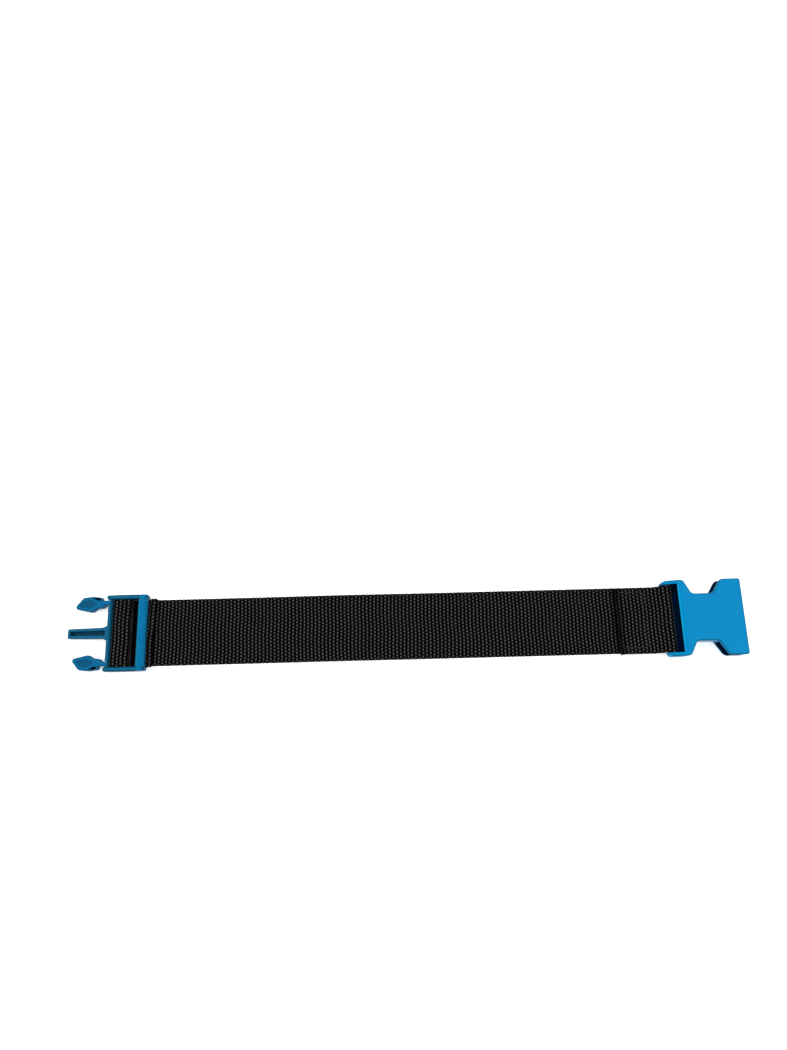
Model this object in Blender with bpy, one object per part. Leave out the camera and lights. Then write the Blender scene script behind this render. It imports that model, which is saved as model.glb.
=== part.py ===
"""A luggage strap: 50 mm black webbing with a blue side-release buckle, lying flat along X on Z = 0.

The male half is at -X and the female half at +X. The webbing is one strip. Starting under the male half,
it runs flat to the female half, wraps round the web bar there and is sewn back on itself. At the other
end it comes up through the male half's front slot, passes over the centre bar, goes down the rear slot
and leaves under the rear lip as a short hemmed tail. Metres, +Z up.
"""

import math

import bmesh
import bpy
from mathutils import Matrix, Vector

MM = 0.001
GAP = 0.3 * MM  # kept between touching pieces

# Webbing
WEBBING_WIDTH = 50 * MM
WEBBING_THICKNESS = 1.5 * MM
BEND_AXES_X = (-80 * MM, -5 * MM, 70 * MM, 145 * MM)  # where the flat run bends

# Whole strap, laid flat and open
HALF_LENGTH = 253.2 * MM  # from the middle to the prong's tip, and to the female half's mouth

# Male half
MALE_WIDTH = 57.4 * MM
MALE_RAIL_WIDTH = 3.1 * MM
MALE_RAIL_HEIGHT = 8.0 * MM
FRONT_BAR_X = (-224.3 * MM, -221.2 * MM)
FRONT_BAR_TOP = 7.4 * MM
CENTRE_BAR_X = (-217.0 * MM, -209.0 * MM)
CENTRE_BAR_HEIGHT = 3.8 * MM
CENTRE_BAR_ROUND = 1.8 * MM
REAR_LIP_X = (-201.6 * MM, -194.8 * MM)
REAR_LIP_TOP = 8.8 * MM
REAR_LIP_FACET = 2.4 * MM  # run of the sloping face on its left side
PRONG_ROOT_WIDTH = 8.6 * MM
PRONG_TIP_WIDTH = 7.2 * MM
PRONG_Z = (1.8 * MM, 7.2 * MM)  # prong and arms clear the strand when they slide over it
PRONG_WALL = 1.7 * MM
PRONG_GROOVE_DEPTH = 3.4 * MM
ARM_Z = (1.8 * MM, 7.4 * MM)
ARM_ROOT_Y = 22.9 * MM
ARM_NECK_WIDTH = 3.3 * MM

# Female half
FEMALE_WIDTH = 56.8 * MM
FEMALE_HEIGHT = 12.8 * MM
FEMALE_PLATE = 2.0 * MM
FEMALE_WALL = 2.0 * MM
WEB_BAR_X = 199.2 * MM
WEB_BAR_RADIUS = 2.1 * MM
RAIL_END_RADIUS = 4.6 * MM
SLOT_FLOOR_X = 203.8 * MM  # left edge of the bottom plate, under the slot
SLOT_EDGE_X = 206.0 * MM
HOLLOW_END_X = 218.5 * MM
BODY_SHOULDER_X = 210.3 * MM
WAIST_X = (215.8 * MM, 231.4 * MM)
WAIST_WIDTH = 35.2 * MM
MOUTH_SHOULDER_X = 238.4 * MM
SOCKET_END_X = 221.0 * MM
CATCH_WALL_LENGTH = 5.0 * MM
GUIDE_X = (226.0 * MM, 246.0 * MM)
GUIDE_Y = (4.7 * MM, 6.0 * MM)

# Ends of the webbing
TAIL_END_X = -189.2 * MM
FOLD_BACK_END_X = 160.6 * MM
STITCH_BOX_X = (162.6 * MM, 182.0 * MM)
STITCH_BOX_HALF_WIDTH = 21.5 * MM
STITCH_SIZE = 0.6 * MM
LOOP_RISE_LENGTH = 12 * MM  # over which the lower layer climbs to the web bar
LOOP_DESCENT_LENGTH = 15 * MM  # over which the upper layer comes down from it

# Derived sizes
SLOT_HALF_WIDTH = MALE_WIDTH / 2 - MALE_RAIL_WIDTH
BAR_UNDERSIDE = WEBBING_THICKNESS + 2 * GAP
TAIL_BOTTOM = WEBBING_THICKNESS + GAP
TAIL_TOP = TAIL_BOTTOM + WEBBING_THICKNESS
WEB_BAR_Z = RAIL_END_RADIUS
ARC_STEPS = 6
CUTTER_REACH = 20 * MM  # how far a cutter runs past what it cuts

BLUE = (0.004, 0.30, 0.58, 1.0)
BLACK = (0.012, 0.012, 0.013, 1.0)


def clear_scene():
    for obj in list(bpy.data.objects):
        bpy.data.objects.remove(obj)


def make_material(name, colour, roughness):
    material = bpy.data.materials.new(name)
    material.use_nodes = True
    shader = material.node_tree.nodes["Principled BSDF"]
    shader.inputs["Base Color"].default_value = colour
    shader.inputs["Roughness"].default_value = roughness
    shader.inputs["Metallic"].default_value = 0.0
    return material


def make_object(name, bm, material=None, origin=(0, 0, 0)):
    """Closes a bmesh into an object whose origin is at the given point; no material means a helper."""
    bmesh.ops.recalc_face_normals(bm, faces=bm.faces)
    bmesh.ops.translate(bm, verts=bm.verts, vec=-Vector(origin))
    mesh = bpy.data.meshes.new(name)
    bm.to_mesh(mesh)
    bm.free()
    mesh.shade_smooth()
    mesh.set_sharp_from_angle(angle=math.radians(30))
    obj = bpy.data.objects.new(name, mesh)
    obj.location = origin
    bpy.context.scene.collection.objects.link(obj)
    if material:
        mesh.materials.append(material)
    else:
        obj.hide_render = True
        obj.display_type = "WIRE"
    return obj


def box(low, high):
    """A box between two corners."""
    bm = bmesh.new()
    size = Vector(high) - Vector(low)
    bmesh.ops.create_cube(bm, size=1.0)
    bmesh.ops.scale(bm, verts=bm.verts, vec=size)
    bmesh.ops.translate(bm, verts=bm.verts, vec=(Vector(high) + Vector(low)) / 2)
    return bm


def rounded_outline(corners):
    """Points round a closed outline given as (u, v, corner radius)."""
    points = []
    for index, (u, v, radius) in enumerate(corners):
        corner = Vector((u, v))
        if radius == 0:
            points.append(corner)
            continue
        before = (Vector(corners[index - 1][:2]) - corner).normalized()
        after = (Vector(corners[(index + 1) % len(corners)][:2]) - corner).normalized()
        half_angle = before.angle(after) / 2
        centre = corner + (before + after).normalized() * radius / math.sin(half_angle)
        start = corner + before * radius / math.tan(half_angle) - centre
        turn = math.pi - 2 * half_angle
        if start.cross(before) > 0:
            turn = -turn
        for step in range(ARC_STEPS + 1):
            angle = turn * step / ARC_STEPS
            points.append(centre + Matrix.Rotation(angle, 2) @ start)
    return points


def extrude_outline(points, start, vector):
    """A prism: the outline's (u, v) points placed by start(u, v), extruded along a vector."""
    bm = bmesh.new()
    face = bm.faces.new([bm.verts.new(start(u, v)) for u, v in points])
    extruded = bmesh.ops.extrude_face_region(bm, geom=[face], use_keep_orig=True)
    moved = [item for item in extruded["geom"] if isinstance(item, bmesh.types.BMVert)]
    bmesh.ops.translate(bm, verts=moved, vec=vector)
    return bm


def flat_prism(points, z_low, z_high):
    """A prism standing on an XY outline."""
    return extrude_outline(points, lambda x, y: (x, y, z_low), (0, 0, z_high - z_low))


def cross_prism(points, half_width):
    """A prism with an XZ outline, running across the strap."""
    return extrude_outline(points, lambda x, z: (x, -half_width, z), (0, 2 * half_width, 0))


def round_rims(bm, levels, width):
    """Rounds the edges that lie wholly at one of the given heights."""
    edges = [
        edge
        for edge in bm.edges
        if any(all(abs(vert.co.z - level) < GAP / 100 for vert in edge.verts) for level in levels)
        and len(edge.link_faces) == 2
    ]
    bmesh.ops.bevel(bm, geom=edges, offset=width, segments=2, profile=0.5, affect="EDGES", material=-1)
    return bm


def ribbon_outline(path):
    """The XZ outline of webbing that follows a centreline, as the two offset sides joined."""
    near, far = [], []
    for index, point in enumerate(path):
        before = path[max(index - 1, 0)]
        after = path[min(index + 1, len(path) - 1)]
        along = (after - before).normalized()
        normal = Vector((-along.y, along.x)) * WEBBING_THICKNESS / 2
        near.append(point + normal)
        far.append(point - normal)
    return near + far[::-1]


def arc(centre, radius, start_deg, end_deg, steps=ARC_STEPS):
    """Points on an arc in the XZ plane."""
    points = []
    for step in range(steps + 1):
        angle = math.radians(start_deg + (end_deg - start_deg) * step / steps)
        points.append(Vector(centre) + Vector((math.cos(angle), math.sin(angle))) * radius)
    return points


def mirrored(corners):
    """Completes an outline given along +Y with its mirror image along -Y."""
    return corners + [(x, -y, radius) for x, y, radius in reversed(corners)]


def combine(obj, operation, other):
    modifier = obj.modifiers.new(f"{operation.lower()} {other.name}", "BOOLEAN")
    modifier.operation = operation
    modifier.solver = "EXACT"
    modifier.object = other


def side_name(side):
    return "right" if side > 0 else "left"


def rear_lip_outline():
    left, right = REAR_LIP_X
    underside = TAIL_TOP + 1.3 * GAP
    return rounded_outline(
        [
            (left + 1.0 * MM, underside, 0.3 * MM),
            (left, underside + 1.0 * MM, 0.3 * MM),
            (left, REAR_LIP_TOP - 2.6 * MM, 0.8 * MM),
            (left + REAR_LIP_FACET, REAR_LIP_TOP, 0.9 * MM),
            (right - 1.2 * MM, REAR_LIP_TOP - 0.4 * MM, 1.0 * MM),
            (right, REAR_LIP_TOP - 2.4 * MM, 0.8 * MM),
            (right, underside, 0.4 * MM),
        ]
    )


def centre_bar_outline():
    left, right = CENTRE_BAR_X
    top = BAR_UNDERSIDE + CENTRE_BAR_HEIGHT
    sides = ((left, BAR_UNDERSIDE), (right, BAR_UNDERSIDE), (right, top), (left, top))
    return rounded_outline([(x, z, CENTRE_BAR_ROUND) for x, z in sides])


def prong_outline():
    root, tip = PRONG_ROOT_WIDTH / 2, PRONG_TIP_WIDTH / 2
    inside_bar = FRONT_BAR_X[0] + 1.0 * MM
    return rounded_outline(
        [
            (-HALF_LENGTH, -tip, 0.8 * MM),
            (inside_bar, -root, 0),
            (inside_bar, root, 0),
            (-HALF_LENGTH, tip, 0.8 * MM),
        ]
    )


def prong_groove():
    """The channel along the prong's top."""
    half = PRONG_TIP_WIDTH / 2 - PRONG_WALL
    low = (-HALF_LENGTH + PRONG_WALL, -half, PRONG_Z[1] - PRONG_GROOVE_DEPTH)
    high = (FRONT_BAR_X[0] - 0.8 * MM, half, PRONG_Z[1] + CUTTER_REACH)
    return make_object("prong_groove_cutter", box(low, high))


def arm_root_socket(side):
    """The hollow in the front bar that the arm's round root turns in."""
    bm = bmesh.new()
    radius = ARM_NECK_WIDTH / 2 + GAP
    depth = 2 * CUTTER_REACH
    bmesh.ops.create_cone(bm, cap_ends=True, segments=24, radius1=radius, radius2=radius, depth=depth)
    bmesh.ops.translate(bm, verts=bm.verts, vec=(FRONT_BAR_X[0], side * ARM_ROOT_Y, 0))
    return make_object(f"arm_root_cutter_{side_name(side)}", bm)


def male_rail(side):
    """One side rail, standing on the surface, a little longer than the bars that it joins."""
    inner, outer = sorted((side * SLOT_HALF_WIDTH, side * MALE_WIDTH / 2))
    front, rear = FRONT_BAR_X[0] - 1.0 * MM, REAR_LIP_X[1] - 0.5 * MM
    corners = [(front, inner, 1.0 * MM), (rear, inner, 0), (rear, outer, 0), (front, outer, 1.0 * MM)]
    bm = flat_prism(rounded_outline(corners), 0, MALE_RAIL_HEIGHT)
    return make_object(f"rail_{side_name(side)}", round_rims(bm, [MALE_RAIL_HEIGHT], 0.7 * MM))


def male_frame(material):
    """Rails, front bar, centre bar, rear lip and guide prong: one moulding."""
    lip_half_width = MALE_WIDTH / 2 - 0.3 * MM  # its ends lie just inside the rails' outer faces
    frame = make_object("male_frame", cross_prism(rear_lip_outline(), lip_half_width), material)
    overlap = SLOT_HALF_WIDTH + MALE_RAIL_WIDTH / 2
    for side in (-1, 1):
        combine(frame, "UNION", male_rail(side))
    front_bar = box((FRONT_BAR_X[0], -overlap, BAR_UNDERSIDE), (FRONT_BAR_X[1], overlap, FRONT_BAR_TOP))
    combine(frame, "UNION", make_object("front_bar", round_rims(front_bar, [FRONT_BAR_TOP], 0.7 * MM)))
    combine(frame, "UNION", make_object("centre_bar", cross_prism(centre_bar_outline(), overlap)))
    prong = round_rims(flat_prism(prong_outline(), *PRONG_Z), [PRONG_Z[1]], 0.4 * MM)
    combine(frame, "UNION", make_object("guide_prong", prong))
    combine(frame, "DIFFERENCE", prong_groove())
    for side in (-1, 1):
        combine(frame, "DIFFERENCE", arm_root_socket(side))
    return frame


def latch_arm_outline(side):
    """One arm from above: a narrow neck at the front bar, then a leaf-shaped head with an outward barb."""
    root_x = FRONT_BAR_X[0]
    neck = ARM_NECK_WIDTH / 2
    inner_neck = ARM_ROOT_Y - neck
    corners = (
        (0.0, ARM_ROOT_Y + neck, 0.0),
        (4.4 * MM, 24.5 * MM, 0.4 * MM),
        (5.1 * MM, 27.0 * MM, 0.3 * MM),
        (12.5 * MM, 27.8 * MM, 6.0 * MM),
        (19.0 * MM, 27.0 * MM, 2.4 * MM),
        (24.2 * MM, 20.6 * MM, 1.0 * MM),
        (23.6 * MM, 18.4 * MM, 0.7 * MM),
        (12.0 * MM, 15.9 * MM, 3.0 * MM),
        (8.4 * MM, 18.5 * MM, 1.6 * MM),
        (4.0 * MM, 19.0 * MM, 1.6 * MM),
        (1.6 * MM, inner_neck, 0.8 * MM),
        (0.0, inner_neck, 0.0),
    )
    points = [Vector((root_x - u, side * v)) for u, v in rounded_outline(corners)]
    centre = (root_x, side * ARM_ROOT_Y)
    return points + arc(centre, neck, -90 * side, 90 * side, 8)[1:-1]


def latch_arm(side, material):
    bm = round_rims(flat_prism(latch_arm_outline(side), *ARM_Z), ARM_Z, 0.5 * MM)
    origin = (FRONT_BAR_X[0], side * ARM_ROOT_Y, sum(ARM_Z) / 2)
    return make_object(f"latch_arm_{side_name(side)}", bm, material, origin)


def female_plan():
    """The female half from above, along +Y."""
    half, waist = FEMALE_WIDTH / 2, WAIST_WIDTH / 2
    left = WEB_BAR_X - RAIL_END_RADIUS
    return rounded_outline(
        mirrored(
            [
                (left, half, 1.6 * MM),
                (BODY_SHOULDER_X, half, 3.5 * MM),
                (WAIST_X[0], waist, 3.5 * MM),
                (WAIST_X[1], waist, 2.5 * MM),
                (MOUTH_SHOULDER_X, half, 3.5 * MM),
                (HALF_LENGTH, half, 1.5 * MM),
            ]
        )
    )


def female_side_profile():
    """The female half from the side: low round rail ends, rising to the full height at the mouth."""
    back = HALF_LENGTH + CUTTER_REACH
    profile = arc((WEB_BAR_X, WEB_BAR_Z), RAIL_END_RADIUS, 270, 110, 14)
    profile += [Vector((BODY_SHOULDER_X - 1.6 * MM, FEMALE_HEIGHT))]
    return profile + [Vector((back, FEMALE_HEIGHT)), Vector((back, 0))]


def socket_cutter():
    """The socket: narrow at the waist, open at both side windows, framed by short walls at the mouth."""
    inner_waist = WAIST_WIDTH / 2 - FEMALE_WALL
    inner_mouth = FEMALE_WIDTH / 2 - FEMALE_WALL
    window_start = WAIST_X[1] + 0.6 * MM
    window_end = HALF_LENGTH - CATCH_WALL_LENGTH
    outside = FEMALE_WIDTH / 2 + CUTTER_REACH
    past_mouth = HALF_LENGTH + CUTTER_REACH
    corners = mirrored(
        [
            (SOCKET_END_X, inner_waist, 2.0 * MM),
            (window_start, inner_waist, 0),
            (window_start, outside, 0),
            (window_end, outside, 0),
            (window_end, inner_mouth, 0),
            (past_mouth, inner_mouth, 0),
        ]
    )
    bm = flat_prism(rounded_outline(corners), FEMALE_PLATE, FEMALE_HEIGHT - FEMALE_PLATE)
    return make_object("socket_cutter", bm)


def web_slot_cutter():
    """The space between the rails; the bottom plate reaches further left than the top one."""
    left, right = WEB_BAR_X - CUTTER_REACH, SLOT_EDGE_X
    low, high = -CUTTER_REACH, FEMALE_HEIGHT + CUTTER_REACH
    floor = [(SLOT_FLOOR_X, low), (SLOT_FLOOR_X, FEMALE_PLATE)]
    points = [(left, low)] + floor + [(right, FEMALE_PLATE), (right, high), (left, high)]
    return make_object("web_slot_cutter", cross_prism(points, SLOT_HALF_WIDTH))


def slot_hollow_cutter():
    """The hollow between the plates behind the slot's edge, up to a wall in front of the socket."""
    inner_waist = WAIST_WIDTH / 2 - FEMALE_WALL
    corners = mirrored(
        [
            (SLOT_EDGE_X - 1.0 * MM, SLOT_HALF_WIDTH, 0),
            (BODY_SHOULDER_X - 1.0 * MM, SLOT_HALF_WIDTH, 1.5 * MM),
            (WAIST_X[0] - 1.4 * MM, inner_waist, 1.5 * MM),
            (HOLLOW_END_X, inner_waist, 1.5 * MM),
        ]
    )
    bm = flat_prism(rounded_outline(corners), FEMALE_PLATE, FEMALE_HEIGHT - FEMALE_PLATE)
    return make_object("slot_hollow_cutter", bm)


def web_bar():
    outline = arc((WEB_BAR_X, WEB_BAR_Z), WEB_BAR_RADIUS, 0, 360, 24)[:-1]
    return make_object("web_bar", cross_prism(outline, (SLOT_HALF_WIDTH + FEMALE_WIDTH / 2) / 2))


def prong_guide(side):
    inner, outer = sorted((side * GUIDE_Y[0], side * GUIDE_Y[1]))
    low = (GUIDE_X[0], inner, FEMALE_PLATE / 2)
    high = (GUIDE_X[1], outer, FEMALE_HEIGHT - FEMALE_PLATE / 2)
    return make_object(f"prong_guide_{side_name(side)}", box(low, high))


def female_housing(material):
    plan = round_rims(flat_prism(female_plan(), 0, FEMALE_HEIGHT), (0, FEMALE_HEIGHT), 0.9 * MM)
    housing = make_object("female_housing", plan, material, (WEB_BAR_X, 0, WEB_BAR_Z))
    side_view = cross_prism(female_side_profile(), FEMALE_WIDTH)
    combine(housing, "INTERSECT", make_object("female_side_view", side_view))
    combine(housing, "DIFFERENCE", web_slot_cutter())
    combine(housing, "DIFFERENCE", slot_hollow_cutter())
    combine(housing, "DIFFERENCE", socket_cutter())
    combine(housing, "UNION", web_bar())
    for side in (-1, 1):
        combine(housing, "UNION", prong_guide(side))
    return housing


def flat_webbing(name, x_low, x_high, material, origin_x):
    """A straight stretch of the flat run; its origin is on the upper surface, at its bend."""
    half = WEBBING_WIDTH / 2
    bm = box((x_low, -half, 0), (x_high, half, WEBBING_THICKNESS))
    return make_object(name, bm, material, (origin_x, 0, WEBBING_THICKNESS))


def webbing_run(material):
    """The flat run in four stretches that meet at the bends; the sewn end is the fifth."""
    first, second, third, fourth = BEND_AXES_X
    front_leg_outside = CENTRE_BAR_X[0] - GAP - WEBBING_THICKNESS - GAP
    half_gap = GAP / 2
    flat_webbing("webbing_adjuster_end", front_leg_outside, first - half_gap, material, first)
    flat_webbing("webbing_run_left", first + half_gap, second - half_gap, material, second)
    middle = (second + third) / 2
    flat_webbing("webbing_run_middle", second + half_gap, third - half_gap, material, middle)
    flat_webbing("webbing_run_right", third + half_gap, fourth - half_gap, material, third)


def webbing_adjuster_wrap(material):
    """Webbing over the centre bar, with a leg in each slot."""
    offset = GAP + WEBBING_THICKNESS / 2
    left, right = CENTRE_BAR_X[0] - offset, CENTRE_BAR_X[1] + offset
    top = BAR_UNDERSIDE + CENTRE_BAR_HEIGHT + offset
    radius = CENTRE_BAR_ROUND + offset
    path = [Vector((left, TAIL_BOTTOM))]
    path += arc((left + radius, top - radius), radius, 180, 90)
    path += arc((right - radius, top - radius), radius, 90, 0)
    path += [Vector((right, TAIL_BOTTOM))]
    bm = cross_prism(ribbon_outline(path), WEBBING_WIDTH / 2)
    return make_object("webbing_adjuster_wrap", bm, material, (left, 0, top))


def webbing_tail(material):
    """The short free end under the rear lip, folded back on top of itself as a hem."""
    start = CENTRE_BAR_X[1] + 2 * GAP + WEBBING_THICKNESS
    lower = TAIL_BOTTOM + WEBBING_THICKNESS / 2
    turn = (WEBBING_THICKNESS + GAP) / 2
    turn_x = TAIL_END_X - turn - WEBBING_THICKNESS / 2
    hem_start = REAR_LIP_X[1] + 1.5 * GAP
    path = [Vector((start, lower))]
    path += arc((turn_x, lower + turn), turn, -90, 90, 8)
    path += [Vector((hem_start, lower + 2 * turn))]
    bm = cross_prism(ribbon_outline(path), WEBBING_WIDTH / 2)
    return make_object("webbing_tail", bm, material, (start, 0, lower))


def fold_back_descent(start, end, steps=10):
    """A smooth S from the top of the loop down onto the lower layer."""
    points = []
    for step in range(1, steps + 1):
        share = step / steps
        ease = (1 - math.cos(math.pi * share)) / 2
        points.append(Vector((start.x + (end.x - start.x) * share, start.y + (end.y - start.y) * ease)))
    return points


def webbing_sewn_loop(material):
    """Webbing from the last bend, round the web bar and back along the top to the sewn end."""
    half = WEBBING_THICKNESS / 2
    radius = WEB_BAR_RADIUS + GAP + half
    centre = (WEB_BAR_X, WEB_BAR_Z)
    lower = Vector((BEND_AXES_X[-1] + GAP / 2, half))
    rise_start = Vector((WEB_BAR_X - LOOP_RISE_LENGTH, half))
    below_bar = Vector((WEB_BAR_X, WEB_BAR_Z - radius))
    above_bar = Vector((WEB_BAR_X, WEB_BAR_Z + radius))
    settled = Vector((WEB_BAR_X - LOOP_DESCENT_LENGTH, WEBBING_THICKNESS + GAP + half))
    path = [lower, rise_start]
    path += fold_back_descent(rise_start, below_bar, 6)
    path += arc(centre, radius, -90, 90, 16)[1:]
    path += fold_back_descent(above_bar, settled)
    path += [Vector((FOLD_BACK_END_X, settled.y))]
    bm = cross_prism(ribbon_outline(path), WEBBING_WIDTH / 2)
    return make_object("webbing_sewn_loop", bm, material, (BEND_AXES_X[-1], 0, WEBBING_THICKNESS))


def sewn_end_stitching(material):
    """Thread of the stitched box on the folded-back end: a thin frame just clear of the webbing."""
    low_z = 2 * WEBBING_THICKNESS + 2 * GAP
    high_z = low_z + STITCH_SIZE
    left, right = STITCH_BOX_X
    half = STITCH_BOX_HALF_WIDTH
    thread = box((left, -half, low_z), (right, half, high_z))
    stitching = make_object("sewn_end_stitching", thread, material, (left, 0, low_z))
    inside_low = (left + STITCH_SIZE, -half + STITCH_SIZE, low_z - CUTTER_REACH)
    inside_high = (right - STITCH_SIZE, half - STITCH_SIZE, high_z + CUTTER_REACH)
    combine(stitching, "DIFFERENCE", make_object("stitch_box_cutter", box(inside_low, inside_high)))
    return stitching


def tail_hem_stitching(material):
    """Thread of the row that holds the hem."""
    low_z = TAIL_TOP + WEBBING_THICKNESS + 2 * GAP
    centre_x = (REAR_LIP_X[1] + TAIL_END_X) / 2
    half = STITCH_BOX_HALF_WIDTH
    low = (centre_x - STITCH_SIZE / 2, -half, low_z)
    high = (centre_x + STITCH_SIZE / 2, half, low_z + STITCH_SIZE)
    return make_object("tail_hem_stitching", box(low, high), material, (centre_x, 0, low_z))


def main():
    clear_scene()
    plastic = make_material("blue_acetal", BLUE, 0.35)
    webbing = make_material("black_webbing", BLACK, 0.7)
    thread = make_material("black_thread", BLACK, 0.5)
    male_frame(plastic)
    for side in (-1, 1):
        latch_arm(side, plastic)
    female_housing(plastic)
    webbing_run(webbing)
    webbing_adjuster_wrap(webbing)
    webbing_tail(webbing)
    webbing_sewn_loop(webbing)
    sewn_end_stitching(thread)
    tail_hem_stitching(thread)


main()
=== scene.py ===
# %% [markdown]
# # A luggage strap, step by step
# A strip of black polypropylene webbing, 50 mm wide, lies flat and open. A blue side-release buckle ends it:
# the male half with its prong and two sprung arms on the left, the female half in a sewn loop on the right.
# The imported CAD model is loaded first as a fixed frame. The pieces made here stand in for its parts, which are
# hidden, and some ride on empties named after its bodies.

# %% Load the fixed frame
import math

import bmesh
import bpy
import numpy as np
from mathutils import Matrix, Vector


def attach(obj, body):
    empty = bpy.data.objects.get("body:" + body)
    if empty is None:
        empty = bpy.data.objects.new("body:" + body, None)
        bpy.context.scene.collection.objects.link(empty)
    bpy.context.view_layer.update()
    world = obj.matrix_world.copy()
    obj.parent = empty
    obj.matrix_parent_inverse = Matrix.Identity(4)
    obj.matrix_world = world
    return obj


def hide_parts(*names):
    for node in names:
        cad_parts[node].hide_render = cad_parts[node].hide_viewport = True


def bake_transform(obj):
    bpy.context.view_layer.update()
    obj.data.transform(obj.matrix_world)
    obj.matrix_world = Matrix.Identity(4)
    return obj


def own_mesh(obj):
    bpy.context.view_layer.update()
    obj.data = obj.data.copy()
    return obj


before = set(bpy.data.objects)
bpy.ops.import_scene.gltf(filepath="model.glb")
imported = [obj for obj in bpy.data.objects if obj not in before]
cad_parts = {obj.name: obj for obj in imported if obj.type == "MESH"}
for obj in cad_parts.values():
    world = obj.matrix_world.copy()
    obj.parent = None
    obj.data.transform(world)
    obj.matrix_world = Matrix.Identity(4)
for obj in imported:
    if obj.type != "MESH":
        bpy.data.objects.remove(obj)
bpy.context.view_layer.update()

MM = 0.001

# %% [markdown]
# ## The camera
# The strap is seen from above, a little from its near side, so the camera looks down at about 75 degrees from
# 58 cm away. A lens this close gives the buckle halves their slanted ends. A position and three plain turns
# place it: tilt from straight down, a small turn about the vertical, and a small roll about its own axis.

# %% Camera
def add_camera():
    data = bpy.data.cameras.new("camera")
    data.lens = 26.15
    data.sensor_width = 36.0
    data.clip_start = 0.01
    camera = bpy.data.objects.new("camera", data)
    bpy.context.scene.collection.objects.link(camera)
    tilt = Matrix.Rotation(math.radians(90 - 75.24), 4, "X")
    turn = Matrix.Rotation(math.radians(-0.772), 4, "Z")
    roll = Matrix.Rotation(math.radians(-0.726), 4, "Z")
    camera.matrix_world = Matrix.Translation((-0.0088, -0.0729, 0.5801)) @ turn @ tilt @ roll
    bpy.context.scene.camera = camera
    return camera


camera = add_camera()
print("camera at", [round(value, 3) for value in camera.location])

# %% [markdown]
# ## Studio light and floor
# A white table and soft boxes on all four sides give an almost shadowless picture. The boxes hang high, so the
# flat tops are bright and the sides and rounded rims fall off darker. The table glows a little itself.

# %% Light and floor
FLOOR_WHITE = (0.93, 0.93, 0.93, 1.0)
TABLE_GLOW = 0.35  # the table is lit a little from below, so that shadows on it vanish


def add_soft_box(name, place, size, power):
    """A square lamp that faces the middle of the strap."""
    data = bpy.data.lights.new(name, "AREA")
    data.shape = "SQUARE"
    data.size = size
    data.energy = power
    lamp = bpy.data.objects.new(name, data)
    bpy.context.scene.collection.objects.link(lamp)
    lamp.location = place
    lamp.rotation_euler = (-Vector(place)).to_track_quat("-Z", "Y").to_euler()


def add_studio():
    world = bpy.data.worlds.new("studio")
    world.use_nodes = True
    background = world.node_tree.nodes["Background"]
    background.inputs["Color"].default_value = (1.0, 1.0, 1.0, 1.0)
    background.inputs["Strength"].default_value = 0.55
    bpy.context.scene.world = world
    bpy.context.scene.view_settings.view_transform = "Standard"
    add_soft_box("soft_box_far", (0.0, 0.8, 1.1), 0.9, 10.0)
    add_soft_box("soft_box_near", (0.0, -0.8, 1.1), 0.9, 5.0)
    add_soft_box("soft_box_left", (-0.9, 0.0, 1.1), 0.9, 6.5)
    add_soft_box("soft_box_right", (0.9, 0.0, 1.1), 0.9, 6.5)


def add_floor():
    bm = bmesh.new()
    bmesh.ops.create_grid(bm, x_segments=1, y_segments=1, size=3.0)
    bmesh.ops.translate(bm, verts=bm.verts, vec=(0, 0, -0.0001))
    mesh = bpy.data.meshes.new("floor")
    bm.to_mesh(mesh)
    bm.free()
    floor = bpy.data.objects.new("floor", mesh)
    bpy.context.scene.collection.objects.link(floor)
    material = bpy.data.materials.new("white_table")
    material.use_nodes = True
    shader = material.node_tree.nodes["Principled BSDF"]
    shader.inputs["Base Color"].default_value = FLOOR_WHITE
    shader.inputs["Roughness"].default_value = 0.9
    shader.inputs["Specular IOR Level"].default_value = 0.0
    shader.inputs["Emission Color"].default_value = FLOOR_WHITE
    shader.inputs["Emission Strength"].default_value = TABLE_GLOW
    mesh.materials.append(material)


add_studio()
add_floor()
print("four soft boxes round a white table")

# %% [markdown]
# ## Writing materials as sums
# A material is a net of nodes. Most of them only add, multiply or compare numbers, so a small class wraps one
# output socket and lets Python's own signs make those nodes. Every other node comes from one method, which
# takes the node's type, its settings, and the values or links of its inputs.

# %% A class for numbers in a material
class Signal:
    """A number that varies over a surface; arithmetic on it adds Math nodes."""

    def __init__(self, finish, socket):
        self.finish = finish
        self.socket = socket

    def __add__(self, other):
        return self.finish.sum("ADD", self, other)

    __radd__ = __add__

    def __sub__(self, other):
        return self.finish.sum("SUBTRACT", self, other)

    def __rsub__(self, other):
        return self.finish.sum("SUBTRACT", other, self)

    def __mul__(self, other):
        return self.finish.sum("MULTIPLY", self, other)

    __rmul__ = __mul__

    def __pow__(self, other):
        return self.finish.sum("POWER", self, other)


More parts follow.
